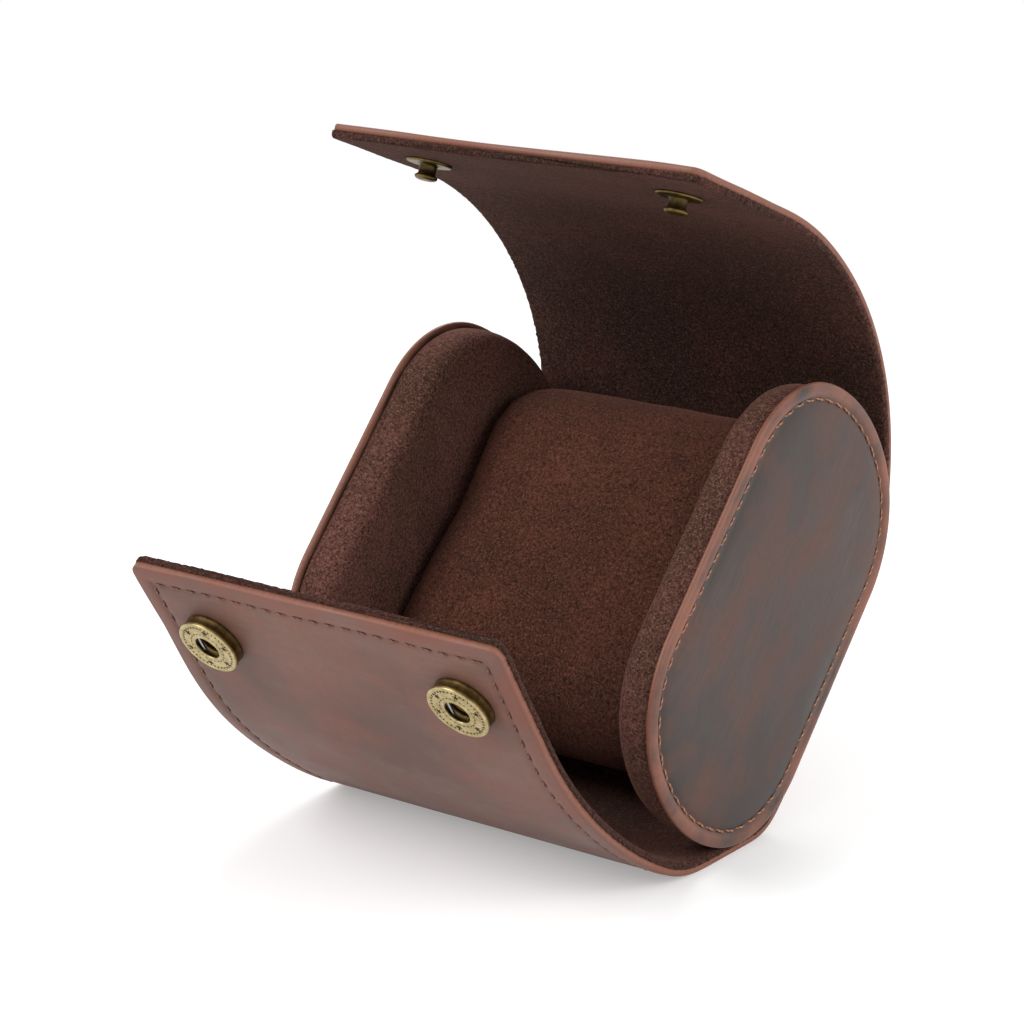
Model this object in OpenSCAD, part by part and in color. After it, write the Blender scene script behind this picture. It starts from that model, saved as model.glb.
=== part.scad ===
// Watch travel case: a stiff leather wrap round two end caps, standing open.
// Everything is drawn on the side view (x = depth, y = height, z = width) and then stood up.

/* [End caps] */
// Width of the case between the rims of its two end caps
case_w = 87.2; // [76:0.4:110]
// Depth of an end cap, from its back edge to its front edge
cap_w = 60; // [56:1:66]
// Height of an end cap along its own long axis
cap_h = 92; // [90:1:96]
// Radius of the four rounded corners of an end cap
cap_corner_r = 25; // [22:1:27]
// Radius of the flatter curve across the top and bottom of an end cap
cap_end_r = 38; // [34:1:46]
// Thickness of an end cap at its rim
cap_t = 9.2; // [7:0.2:12]
// Thickness of the cap's outer leather panel at its rim
cap_leather_t = 1.1; // [0.8:0.1:1.8]
// How far the middle of the leather panel stands above its rim
cap_crown = 0.6; // [0.3:0.1:1]
// How far the suede sides of a cap are set in from its leather rim
cap_inset = 1.2; // [0.8:0.1:1.6]
// Thickness of the suede on a cap's sides and inner face
cap_suede_t = 1.2; // [0.8:0.1:1.8]
// Distance of the cap's stitching from its edge
cap_stitch_in = 3.3; // [2.6:0.1:4.2]
// Depth of the pressed groove that the cap's stitching lies in
cap_groove = 0.5; // [0.3:0.1:0.6]
// Room in the groove on each side of the thread
groove_room = 0.2; // [0.1:0.05:0.3]
// Width of the flat shelf between the groove and the padded middle
cap_shelf = 0.5; // [0.4:0.1:0.8]
// Width of the lower step of the padded middle
cap_step = 2.5; // [2:0.1:4]

/* [Wrap] */
// Angle that the case leans back as it stands open
lean = 42.4; // [40:0.2:45]
// Thickness of the wrap's outer leather
leather_t = 1.4; // [1:0.1:1.8]
// Thickness of the wrap's suede lining
lining_t = 1.4; // [1:0.1:1.8]
// Gap between each long edge of the wrap and the cap's leather rim
edge_gap = 0.3; // [0.2:0.1:1]
// Glue line between the lining and the back of the caps
glue_gap = 0.1; // [0:0.05:0.3]
// Straight part of the back above the middle of the caps
back_high = 20; // [19:0.5:22]
// Straight part of the back below the middle of the caps
back_low = 30.2; // [29:0.2:33]
// Outer radius of the heel where the back turns under
heel_r = 4.5; // [4:0.5:9]
// Length of the flat foot that the case stands on
foot_len = 21.2; // [18:0.2:23]

/* [Top flap] */
// Length of the fixed bend above the back
top_root_len = 14; // [13:0.5:16]
// Angle of the fixed bend above the back
top_root_bend = 33; // [30:0.5:34]
// Length of each bending part of the top flap
top_part_len = 17; // [15:0.5:19]
// Bend of the first part of the top flap
top_bend_1 = 14; // [10:0.5:18]
// Bend of the second part of the top flap
top_bend_2 = 19; // [14:0.5:22]
// Bend of the third part of the top flap
top_bend_3 = 16; // [12:0.5:20]
// Bend of the fourth part of the top flap
top_bend_4 = 14; // [10:0.5:18]
// Bend of the fifth part of the top flap
top_bend_5 = 15; // [11:0.5:19]
// Length of the flat end of the top flap, which carries the studs
top_end_len = 31.5; // [28:0.5:36]

/* [Front flap] */
// Length of each bending part of the front flap
front_part_len = 12; // [11:0.5:14]
// Bend of the first part of the front flap
front_bend_1 = 28; // [24:0.5:32]
// Bend of the second part of the front flap
front_bend_2 = 7; // [4:0.5:12]
// Bend of the third part of the front flap
front_bend_3 = 6; // [3:0.5:10]
// Bend of the fourth part of the front flap
front_bend_4 = 7; // [4:0.5:11]
// Bend of the fifth part of the front flap
front_bend_5 = 10; // [6:0.5:14]
// Length of the flat end of the front flap, which carries the sockets
front_end_len = 29.5; // [27:0.5:34]

/* [Stitching] */
// Distance of the wrap's stitching from its edges
stitch_in = 4; // [3:0.1:5]
// Length of one stitch
stitch_len = 2.6; // [2:0.1:3.2]
// Gap between two stitches
stitch_gap = 1.1; // [0.8:0.1:1.6]
// Width of the sewing thread
thread_w = 0.6; // [0.4:0.1:0.9]
// Height of a stitch above the leather
thread_h = 0.3; // [0.2:0.05:0.5]

/* [Snaps] */
// Distance of each snap from the long edge of the wrap
snap_side_in = 13.2; // [13.2:0.2:17.2]
// Distance of the sockets from the front flap's free edge
socket_in = 16.3; // [14:0.1:19]
// Distance of the studs from the top flap's free edge
stud_in = 15.6; // [14:0.1:19]
// Outer radius of a snap socket
socket_r = 6.3; // [5.6:0.1:7]
// Height of a snap socket above the leather
socket_h = 2.8; // [2.6:0.1:3.2]
// Radius of the hole in a snap socket
socket_hole_r = 2.6; // [2.5:0.05:2.8]
// Radius of the spring wire in a socket
wire_r = 0.3; // [0.2:0.05:0.35]
// Radius of a stud's head
stud_head_r = 2.3; // [2:0.05:2.35]
// Radius of a stud's neck
stud_neck_r = 1.7; // [1.4:0.05:1.75]
// Length of a stud's neck
stud_neck_len = 2; // [1.8:0.1:2.2]
// Height of a stud's head
stud_head_h = 2; // [1.6:0.1:2.4]
// Radius of a stud's base
stud_base_r = 4.5; // [4:0.1:5]
// Thickness of a stud's base
stud_base_t = 0.6; // [0.4:0.1:0.8]
// Radius of the domed cap outside each stud
dome_r = 6.2; // [5.5:0.1:7]
// Height of the domed cap outside each stud
dome_h = 1.1; // [0.8:0.1:1.5]
// Radius of the flat cap inside each socket
rivet_cap_r = 5; // [4.5:0.1:5.2]
// Thickness of the flat cap inside each socket
rivet_cap_t = 0.6; // [0.4:0.1:0.8]

// Rounding of a socket's upper outer edge
socket_round = 1; // [0.6:0.1:1.1]
// How far a socket's lid dips towards its hole
socket_dish = 0.2; // [0.1:0.05:0.3]
// Thickness of a socket's lid over its wires
socket_lid_t = 0.5; // [0.4:0.05:0.6]
// Thickness of a socket's side wall round its wires
socket_wall = 1.9; // [1.6:0.1:2.2]
// Height of the room for the wires inside a socket
wire_room_t = 0.9; // [0.8:0.05:1]
// Gap between a stud's neck and the wires on each side of it
wire_gap = 0.15; // [0.1:0.05:0.2]
// Wall of the rivet that holds a socket
rivet_wall = 0.4; // [0.3:0.05:0.5]
// How far the rivet's rolled lip stands out from its tube
rivet_lip_w = 0.6; // [0.4:0.05:0.8]
// Height of the rivet's rolled lip
rivet_lip_t = 0.4; // [0.3:0.05:0.5]
// Radius of the post that holds a stud to its domed cap
stud_post_r = 1.5; // [1.2:0.05:1.6]
// Rounding of the edge of a stud's base
stud_round = 0.4; // [0.2:0.05:0.5]
// Clearance round the rivets and the posts, and inside the sockets
snap_fit = 0.1; // [0.05:0.05:0.2]

/* [Pillow] */
// Depth of the pillow, from its back to its front
pillow_w = 35.8; // [32:0.2:37]
// Height of the pillow along the caps' long axis
pillow_h = 78; // [72:1:80]
// Distance of the pillow's middle behind the middle of the caps
pillow_back = 6.9; // [5:0.1:8]
// Distance of the pillow's middle above the middle of the caps
pillow_up = 3; // [1:0.5:4]
// Gap between each end of the pillow and its cap
pillow_gap = 0.3; // [0.2:0.1:0.8]
// How much thinner the pillow is at its sewn ends, on each side
pillow_draw = 2.2; // [1:0.2:3]
// How far the pillow's sides are drawn in at the middle of each side
pillow_crown = 0.7; // [0.3:0.1:1.2]
// Thickness of the pillow's cover at its thinnest
cover_t = 1.2; // [0.8:0.1:1.8]

/* [Hidden] */
$fn = 96;
deg = PI / 180;

// Colours
leather_colour = [0.30, 0.17, 0.14];
suede_colour = [0.19, 0.11, 0.09];
thread_colour = [0.36, 0.22, 0.17];
board_colour = [0.62, 0.58, 0.50];
foam_colour = [0.85, 0.83, 0.76];
brass_colour = [0.55, 0.46, 0.27];
steel_colour = [0.55, 0.55, 0.55];

// Sizes that follow from the ones above
wrap_t = leather_t + lining_t;
rim_out = case_w / 2;
rim_in = rim_out - cap_leather_t;
wrap_half = rim_in - edge_gap;
cap_in = rim_out - cap_t;
wrap_in = cap_w / 2 - cap_inset + glue_gap;
corner_x = cap_w / 2 - cap_corner_r;
end_y = cap_h / 2 - cap_end_r;
corner_y = end_y + sqrt(pow(cap_end_r - cap_corner_r, 2) - corner_x * corner_x);
stitch_pitch = stitch_len + stitch_gap;
rise = 90 - lean;
snap_places = [snap_side_in - wrap_half, wrap_half - snap_side_in];

// A point of the side view, from its place on the caps' own axes: back, then up
function at(back, up) = [back * cos(lean) + up * sin(lean), up * cos(lean) - back * sin(lean)];
// The direction of a heading, and the outward direction of a strip that bends to one side
function along(h) = [cos(h), sin(h)];
function outward(h, side) = side * [sin(h), -cos(h)];
// The end of a strip's inner face, from its start, heading, side, length and bend
function walk(p, h, side, l, bend) = bend == 0 ? p + l * along(h) :
  p + side * l / (bend * deg) * ([-sin(h), cos(h)] - [-sin(h + side * bend), cos(h + side * bend)]);
// The start and heading of every part of a strip
function chain(p, h, side, ls, bends, i = 0) = i == len(ls) ? [] :
  concat([[p, h]], chain(walk(p, h, side, ls[i], bends[i]), h + side * bends[i], side, ls, bends, i + 1));

// The wrap's path along its inner face, up and over from the back, and under and forward from it
top_lens = [top_root_len, for (i = [1:5]) top_part_len, top_end_len];
top_bends = [top_root_bend, top_bend_1, top_bend_2, top_bend_3, top_bend_4, top_bend_5, 0];
top_parts = chain(at(wrap_in, back_high), rise, 1, top_lens, top_bends);
heel_in_r = heel_r - wrap_t;
heel_start = at(wrap_in, -back_low);
heel_end = walk(heel_start, rise + 180, -1, heel_in_r * rise * deg, rise);
foot_end = heel_end - [foot_len, 0];
front_lens = [for (i = [1:5]) front_part_len, front_end_len];
front_bends = [front_bend_1, front_bend_2, front_bend_3, front_bend_4, front_bend_5, 0];
front_parts = chain(foot_end, 180, -1, front_lens, front_bends);
top_last = len(top_lens) - 1;
front_last = len(front_lens) - 1;

// The case's foot stands at height 0, and the middle of its depth is at 0
samples = 24;
outer_depths = [
  for (i = [0:top_last], k = [0:samples])
    (walk(top_parts[i][0], top_parts[i][1], 1, top_lens[i] * k / samples, top_bends[i] * k / samples)
      + wrap_t * outward(top_parts[i][1] + top_bends[i] * k / samples, 1)).x,
  (walk(front_parts[front_last][0], front_parts[front_last][1], -1, front_end_len, 0)
    + wrap_t * outward(front_parts[front_last][1], -1)).x,
];
middle_depth = (max(outer_depths) + min(outer_depths)) / 2;
foot_height = heel_end.y - wrap_t;

// Stands the side view up, with the case's width along X
module stood() {
  translate([0, -middle_depth, -foot_height]) rotate([90, 0, 90]) children();
}

// Puts a shape on a strip: its x along the strip, its y outward and its z across the case
module on_strip(p, h, side) {
  translate([p.x, p.y, 0]) rotate([0, 0, h]) mirror([0, side > 0 ? 1 : 0, 0]) children();
}

// A piece of sheet that bends evenly, from one depth under its outer face to another
module sheet(p, h, side, l, bend, from, thick, half) {
  if (bend == 0) on_strip(p, h, side) translate([0, from, -half]) cube([l, thick, 2 * half]);
  else on_strip(p, h, side) bent_sheet(l / (bend * deg), bend, from, thick, half);
}

module bent_sheet(r, bend, from, thick, half) {
  translate([0, -r, -half]) rotate([0, 0, 90 - bend]) rotate_extrude(angle = bend)
    translate([r + from, 0]) square([thick, 2 * half]);
}

// Places along a bend: point, heading and side
bend_steps = 16;
function bend_places(p, h, side, l, bend) = [for (k = [0:bend_steps]) let (t = k / bend_steps)
  [walk(p, h, side, l * t, bend * t), h + side * bend * t, side]];
function backwards(list) = [for (i = [len(list) - 1:-1:0]) list[i]];
// The wrap's fixed part, from the foot's front, round the heel and up the back to the first hinge
fixed_places = concat([[foot_end, 180, -1]],
  backwards(bend_places(heel_start, rise + 180, -1, heel_in_r * rise * deg, rise)),
  bend_places(top_parts[0][0], top_parts[0][1], 1, top_lens[0], top_bends[0]));

// One layer of the wrap's fixed part
module fixed_layer(from, thick, half) {
  inner = [for (q = fixed_places) q[0] + from * outward(q[1], q[2])];
  outer = [for (q = fixed_places) q[0] + (from + thick) * outward(q[1], q[2])];
  linear_extrude(2 * half, center = true) polygon(concat(inner, backwards(outer)));
}

// A row of stitches near both long edges of a strip, from the first one that stands clear
module edge_stitches(p, h, side, l, bend, first = 0) {
  count = max(1, floor(l / stitch_pitch));
  for (k = [first:count - 1], x = [-1, 1]) {
    s = (k + 0.5) / count;
    stitch(walk(p, h, side, l * s, bend * s), h + side * bend * s, side, x * (wrap_half - stitch_in));
  }
}

// One stitch on the leather, along the strip
module stitch(p, h, side, x) {
  on_strip(p, h, side) translate([-stitch_len / 2, wrap_t, x - thread_w / 2])
    cube([stitch_len, thread_h, thread_w]);
}

// A row of stitches across the free end of a flap
module end_stitches(p, h, side, l) {
  run = 2 * (wrap_half - stitch_in);
  count = floor(run / stitch_pitch);
  for (k = [0:count - 1]) on_strip(p, h, side)
    translate([l - stitch_in - thread_w / 2, wrap_t, (k + 0.5) / count * run - run / 2 - stitch_len / 2])
      cube([thread_w, thread_h, stitch_len]);
}

// Puts a turned part on a flap's flat end, its axis outward from the leather's outer face
module at_snap(parts, side, l, inset) {
  for (x = snap_places) on_strip(parts[0], parts[1], side)
    translate([l - inset, wrap_t, x]) rotate([-90, 0, 0]) children();
}

module at_socket() {
  at_snap(front_parts[front_last], -1, front_end_len, socket_in) children();
}

module at_stud() {
  at_snap(top_parts[top_last], 1, top_end_len, stud_in) children();
}

rivet_in_r = socket_hole_r;
rivet_out_r = rivet_in_r + rivet_wall;
rivet_hole_r = rivet_out_r + snap_fit;
rivet_lip_r = rivet_out_r + rivet_lip_w;
stud_hole_r = stud_post_r + snap_fit;

module flap_leather(parts, side, i, l, bend) {
  color(leather_colour) stood()
    sheet(parts[i][0], parts[i][1], side, l, bend, lining_t, leather_t, wrap_half);
}

module flap_lining(parts, side, i, l, bend) {
  color(suede_colour) stood()
    sheet(parts[i][0], parts[i][1], side, l, bend, 0, lining_t, wrap_half);
}

module flap_stitching(parts, side, i, l, bend, first = 0) {
  color(thread_colour) stood()
    edge_stitches(parts[i][0], parts[i][1], side, l, bend, first);
}

module top_leather(i) {
  flap_leather(top_parts, 1, i, top_lens[i], top_bends[i]);
}

module top_lining(i) {
  flap_lining(top_parts, 1, i, top_lens[i], top_bends[i]);
}

module top_stitching(i) {
  flap_stitching(top_parts, 1, i, top_lens[i], top_bends[i]);
}

module front_leather(i) {
  flap_leather(front_parts, -1, i - 1, front_lens[i - 1], front_bends[i - 1]);
}

module front_lining(i) {
  flap_lining(front_parts, -1, i - 1, front_lens[i - 1], front_bends[i - 1]);
}

// The stitch next to the foot is pressed into the leather, so the case still stands on its foot
module front_stitching(i) {
  flap_stitching(front_parts, -1, i - 1, front_lens[i - 1], front_bends[i - 1], i == 1 ? 1 : 0);
}

// The holes for the snaps, right through both layers
module snap_hole(r) {
  translate([0, 0, -2 * wrap_t]) cylinder(r = r, h = 3 * wrap_t);
}

module top_leather_end() {
  color(leather_colour) difference() {
    top_leather(top_last);
    stood() at_stud() snap_hole(stud_hole_r);
  }
}

module top_lining_end() {
  color(suede_colour) difference() {
    top_lining(top_last);
    stood() at_stud() snap_hole(stud_hole_r);
  }
}

module top_stitching_end() {
  top_stitching(top_last);
  color(thread_colour) stood()
    end_stitches(top_parts[top_last][0], top_parts[top_last][1], 1, top_end_len);
}

module front_leather_end() {
  color(leather_colour) difference() {
    front_leather(front_last + 1);
    stood() at_socket() snap_hole(rivet_hole_r);
  }
}

module front_lining_end() {
  color(suede_colour) difference() {
    front_lining(front_last + 1);
    stood() at_socket() snap_hole(rivet_hole_r);
  }
}

module front_stitching_end() {
  front_stitching(front_last + 1);
  color(thread_colour) stood()
    end_stitches(front_parts[front_last][0], front_parts[front_last][1], -1, front_end_len);
}

module wrap_leather() {
  color(leather_colour) stood() fixed_layer(lining_t, leather_t, wrap_half);
}

module wrap_lining() {
  color(suede_colour) stood() fixed_layer(0, lining_t, wrap_half);
}

module wrap_stitching() {
  color(thread_colour) stood() {
    edge_stitches(heel_start, rise, 1, back_low + back_high, 0);
    edge_stitches(top_parts[0][0], top_parts[0][1], 1, top_lens[0], top_bends[0]);
  }
}

// The outline of an end cap on its own axes, grown outward by some distance
module cap_outline(grow) {
  reach = cap_h;
  for (end = [-1, 1]) {
    intersection() {
      translate([0, end * end_y]) circle(r = cap_end_r + grow);
      polygon([[0, end * end_y], end * [corner_x, corner_y - end_y] * reach + [0, end * end_y],
        end * [-corner_x, corner_y - end_y] * reach + [0, end * end_y]]);
    }
    for (x = [-corner_x, corner_x]) translate([x, end * corner_y]) circle(r = cap_corner_r + grow);
  }
  square([cap_w + 2 * grow, 2 * corner_y], center = true);
}

// A plate with the cap's outline, between two distances from the middle of the case
module cap_plate(grow, from, to) {
  rotate([0, 0, -lean]) translate([0, 0, from]) linear_extrude(to - from) cap_outline(grow);
}

// Draws a cap on the left or on the right
module cap_side(side) {
  stood() mirror([0, 0, side < 0 ? 1 : 0]) children();
}

module cap_leather(side) {
  groove = thread_w / 2 + groove_room;
  middle = groove + cap_stitch_in + cap_shelf;
  color(leather_colour) cap_side(side) {
    difference() {
      cap_plate(0, rim_in, rim_out);
      difference() {
        cap_plate(groove - cap_stitch_in, rim_out - cap_groove, rim_out + 1);
        cap_plate(-groove - cap_stitch_in, rim_out - 1, rim_out + 2);
      }
    }
    cap_plate(-middle, rim_out, rim_out + cap_crown / 2);
    cap_plate(-middle - cap_step, rim_out + cap_crown / 2, rim_out + cap_crown);
  }
}

module cap_suede(side) {
  color(suede_colour) cap_side(side) difference() {
    cap_plate(-cap_inset, cap_in, rim_in);
    cap_plate(-cap_inset - cap_suede_t, cap_in + cap_suede_t, rim_in + 1);
  }
}

module cap_board(side) {
  color(board_colour) cap_side(side) cap_plate(-cap_inset - cap_suede_t, cap_in + cap_suede_t, rim_in);
}

// The distance round a cap's stitch line, and a place on it: point and heading
line_r = cap_corner_r - cap_stitch_in;
line_end_r = cap_end_r - cap_stitch_in;
line_half_w = cap_w / 2 - cap_stitch_in;
end_turn = atan(corner_x / (corner_y - end_y));
corner_turn = 90 - end_turn;
side_run = corner_y;
corner_run = line_r * corner_turn * deg;
end_run = line_end_r * end_turn * deg;
quarter = side_run + corner_run + end_run;

// A place on one quarter of the stitch line, measured up from the middle of a straight side
function quarter_place(s) = s < side_run ? [line_half_w, s, 90] :
  s < side_run + corner_run ?
    let (a = (s - side_run) / line_r / deg)
    [corner_x + line_r * cos(a), corner_y + line_r * sin(a), 90 + a] :
    let (a = corner_turn + (s - side_run - corner_run) / line_end_r / deg)
    [line_end_r * cos(a), end_y + line_end_r * sin(a), 90 + a];

module cap_stitching(side) {
  count = round(quarter / stitch_pitch);
  color(thread_colour) cap_side(side) rotate([0, 0, -lean])
    for (k = [0:count - 1], mx = [0, 1], my = [0, 1]) {
      q = quarter_place((k + 0.5) / count * quarter);
      mirror([mx, 0, 0]) mirror([0, my, 0]) translate([q[0], q[1], rim_out - cap_groove])
        rotate([0, 0, q[2]]) translate([-stitch_len / 2, -thread_w / 2, 0])
          cube([stitch_len, thread_w, thread_h]);
    }
}

// The inside of a socket: the room for its wires, under the lid
wire_room_high = socket_h - socket_lid_t;
wire_room_low = wire_room_high - wire_room_t;
wire_room_r = socket_r - socket_wall;
wire_off = stud_neck_r + wire_gap + wire_r;
wire_half = sqrt(pow(wire_room_r, 2) - pow(wire_off + wire_r, 2)) - snap_fit;
socket_pass_r = socket_hole_r + snap_fit;

module snap_sockets() {
  color(brass_colour) stood() at_socket() rotate_extrude() polygon([
    [rivet_lip_r + snap_fit, 0], [socket_r, 0], [socket_r, socket_h - 0.9 * socket_round],
    [socket_r - 0.4 * socket_round, socket_h - 0.3 * socket_round], [socket_r - socket_round, socket_h],
    [socket_hole_r + 4 * socket_dish, socket_h - socket_dish],
    [socket_hole_r + socket_dish / 2, socket_h - 1.5 * socket_dish],
    [socket_hole_r, wire_room_high], [wire_room_r, wire_room_high], [wire_room_r, wire_room_low],
    [socket_pass_r, wire_room_low], [socket_pass_r, rivet_lip_t + snap_fit],
    [rivet_lip_r + snap_fit, rivet_lip_t + snap_fit],
  ]);
}

module socket_springs() {
  color(steel_colour) stood() at_socket() for (y = [-wire_off, wire_off])
    translate([0, y, (wire_room_low + wire_room_high) / 2]) rotate([0, 90, 0])
      cylinder(r = wire_r, h = 2 * wire_half, center = true);
}

module socket_rivets() {
  color(brass_colour) stood() at_socket() rotate_extrude() polygon([
    [0, -wrap_t - rivet_cap_t], [rivet_cap_r, -wrap_t - rivet_cap_t], [rivet_cap_r, -wrap_t],
    [rivet_out_r, -wrap_t], [rivet_out_r, 0], [rivet_lip_r, 0], [rivet_lip_r, rivet_lip_t],
    [rivet_in_r, rivet_lip_t], [rivet_in_r, -wrap_t], [0, -wrap_t],
  ]);
}

module snap_studs() {
  head = stud_base_t + stud_neck_len;
  color(brass_colour) stood() at_stud() translate([0, 0, -wrap_t]) rotate([180, 0, 0])
    rotate_extrude() polygon([
      [0, 0], [stud_base_r, 0], [stud_base_r, stud_base_t / 2], [stud_base_r - stud_round, stud_base_t],
      [stud_neck_r, stud_base_t], [stud_neck_r, head], [stud_head_r, head + 0.25 * stud_head_h],
      [stud_head_r, head + 0.6 * stud_head_h], [0.6 * stud_head_r, head + stud_head_h],
      [0, head + stud_head_h],
    ]);
}

module stud_caps() {
  color(brass_colour) stood() at_stud() rotate_extrude() polygon([
    [0, -wrap_t], [stud_post_r, -wrap_t], [stud_post_r, 0], [dome_r, 0], [dome_r, 0.3 * dome_h],
    [0.85 * dome_r, 0.75 * dome_h], [0.5 * dome_r, dome_h], [0, dome_h],
  ]);
}

// The pillow's section is a long round shape, drawn in at its sewn ends and along its flat sides
pillow_half = cap_in - pillow_gap;
pillow_r = pillow_w / 2;
pillow_straight = pillow_h - pillow_w;
section_steps = 12;
side_steps = 5;
rings = [-1, -0.97, -0.9, -0.75, -0.5, -0.2, 0.2, 0.5, 0.75, 0.9, 0.97, 1];

// How much a ring is drawn in, from its place along the pillow (-1 to 1)
function drawn(u) = pillow_draw * pow(abs(u), 8);
// The section's points, from its right side up and over, for one ring
function section(u) = let (r = pillow_r - drawn(u), half = pillow_straight / 2) [
  for (k = [0:section_steps]) [r * cos(180 * k / section_steps), half + r * sin(180 * k / section_steps)],
  for (k = [1:side_steps]) let (t = k / (side_steps + 1))
    [pillow_crown * sin(180 * t) - r, half - 2 * half * t],
  for (k = [0:section_steps])
    [-r * cos(180 * k / section_steps), -half - r * sin(180 * k / section_steps)],
  for (k = [1:side_steps]) let (t = k / (side_steps + 1))
    [r - pillow_crown * sin(180 * t), 2 * half * t - half],
];

module pillow_form() {
  pts = [for (u = rings) for (q = section(u)) [q.x, q.y, u * pillow_half]];
  n = len(section(0));
  last = len(rings) - 1;
  faces = [
    for (j = [0:last - 1], k = [0:n - 1]) each let (a = j * n + k, b = j * n + (k + 1) % n)
      [[a, a + n, b], [b, a + n, b + n]],
    for (k = [1:n - 2]) [0, k, k + 1],
    for (k = [1:n - 2]) [last * n, last * n + k + 1, last * n + k],
  ];
  polyhedron(pts, faces, convexity = 4);
}

module pillow_place() {
  stood() rotate([0, 0, -lean]) translate([pillow_back, pillow_up, 0]) children();
}

// The foam inside the pillow, which fills the cover's room
module foam_form() {
  r = pillow_r - pillow_draw - cover_t;
  linear_extrude(2 * (pillow_half - cover_t), center = true) {
    for (end = [-1, 1]) translate([0, end * pillow_straight / 2]) circle(r = r);
    square([2 * r, pillow_straight], center = true);
  }
}

module pillow_cover() {
  color(suede_colour) pillow_place() difference() {
    pillow_form();
    foam_form();
  }
}

module pillow_foam() {
  color(foam_colour) pillow_place() foam_form();
}

wrap_leather();
wrap_lining();
wrap_stitching();
top_leather(1);  // top_leather_1
top_leather(2);  // top_leather_2
top_leather(3);  // top_leather_3
top_leather(4);  // top_leather_4
top_leather(5);  // top_leather_5
top_leather_end();
top_lining(1);  // top_lining_1
top_lining(2);  // top_lining_2
top_lining(3);  // top_lining_3
top_lining(4);  // top_lining_4
top_lining(5);  // top_lining_5
top_lining_end();
top_stitching(1);  // top_stitching_1
top_stitching(2);  // top_stitching_2
top_stitching(3);  // top_stitching_3
top_stitching(4);  // top_stitching_4
top_stitching(5);  // top_stitching_5
top_stitching_end();
front_leather(1);  // front_leather_1
front_leather(2);  // front_leather_2
front_leather(3);  // front_leather_3
front_leather(4);  // front_leather_4
front_leather(5);  // front_leather_5
front_leather_end();
front_lining(1);  // front_lining_1
front_lining(2);  // front_lining_2
front_lining(3);  // front_lining_3
front_lining(4);  // front_lining_4
front_lining(5);  // front_lining_5
front_lining_end();
front_stitching(1);  // front_stitching_1
front_stitching(2);  // front_stitching_2
front_stitching(3);  // front_stitching_3
front_stitching(4);  // front_stitching_4
front_stitching(5);  // front_stitching_5
front_stitching_end();
cap_leather(-1);  // cap_leather_left
cap_board(-1);  // cap_board_left
cap_suede(-1);  // cap_suede_left
cap_stitching(-1);  // cap_stitching_left
cap_leather(1);  // cap_leather_right
cap_board(1);  // cap_board_right
cap_suede(1);  // cap_suede_right
cap_stitching(1);  // cap_stitching_right
snap_sockets();
socket_springs();
socket_rivets();
snap_studs();
stud_caps();
pillow_cover();
pillow_foam();
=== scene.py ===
import math

import bmesh
import bpy
from mathutils import Matrix, Vector, noise


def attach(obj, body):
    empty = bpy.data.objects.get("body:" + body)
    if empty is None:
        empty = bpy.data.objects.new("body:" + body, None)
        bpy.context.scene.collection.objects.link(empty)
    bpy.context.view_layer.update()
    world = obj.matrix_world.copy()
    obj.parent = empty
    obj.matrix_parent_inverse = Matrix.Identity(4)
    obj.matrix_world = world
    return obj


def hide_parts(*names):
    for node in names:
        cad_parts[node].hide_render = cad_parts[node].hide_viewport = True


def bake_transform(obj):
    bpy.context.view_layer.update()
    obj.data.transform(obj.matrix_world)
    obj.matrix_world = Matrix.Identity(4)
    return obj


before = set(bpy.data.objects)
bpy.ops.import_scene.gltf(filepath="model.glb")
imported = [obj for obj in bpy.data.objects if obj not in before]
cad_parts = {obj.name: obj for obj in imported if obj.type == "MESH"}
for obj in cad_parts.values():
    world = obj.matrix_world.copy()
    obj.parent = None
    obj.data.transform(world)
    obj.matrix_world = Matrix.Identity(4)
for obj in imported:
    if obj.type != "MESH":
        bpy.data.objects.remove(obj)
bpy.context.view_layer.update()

# Sizes in millimetres, those of the real piece as in the part's source
MM = 0.001
LEAN = math.radians(42.4)
MIDDLE_DEPTH = -20.932
FOOT_HEIGHT = -45.1424
LEATHER = 1.4
LINING = 1.4
WRAP = LEATHER + LINING
RIM_OUT = 43.6
RIM_IN = 42.5
WRAP_HALF = 42.2
CAP_IN = 34.4
WRAP_BACK = 28.9
CAP_W, CAP_H = 60.0, 92.0
CAP_CORNER_R, CAP_END_R = 25.0, 38.0
CAP_INSET = 1.2
STITCH_IN = 4.0
STITCH_LEN = 2.75
STITCH_PITCH = 3.7
SNAP_X = 29.0
SOCKET_IN, STUD_IN = 16.3, 15.6
SOCKET_R, SOCKET_H = 6.3, 2.8

# The wrap's two arms, both from the middle of the back: length and bend of each run, in mm and degrees
TOP_RUNS = [(20, 0), (14, 33), (17, 14), (17, 19), (17, 16), (17, 14), (17, 15), (31.5, 0)]
FRONT_RUNS = [(30.2, 0), (1.412, 47.6), (21.2, 0), (12, 28), (12, 7), (12, 6), (12, 7), (12, 10), (29.5, 0)]
TOP_BODIES = ["case", "top_part_2", "top_part_3", "top_part_4", "top_part_5", "top_end"]
FRONT_BODIES = ["case", "front_part_1", "front_part_2", "front_part_3", "front_part_4", "front_part_5",
                "front_end"]
FOOT_MIDDLE, FOOT_REACH = 43.0, 15.0
# How far the leather bends on each side of a hinge
BLEND_REACH = {"top": 8.2, "front": 5.7}
STEP = 0.25
# Sets the two caps' patterns apart, in metres
FACE_SPREAD = 0.2


def seat(back, up, across=0.0):
    """A place given on the caps' own axes, in the row frame and in metres."""
    y = back * math.cos(LEAN) + up * math.sin(LEAN) - MIDDLE_DEPTH
    z = up * math.cos(LEAN) - back * math.sin(LEAN) - FOOT_HEIGHT
    return Vector((across, y, z)) * MM


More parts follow.
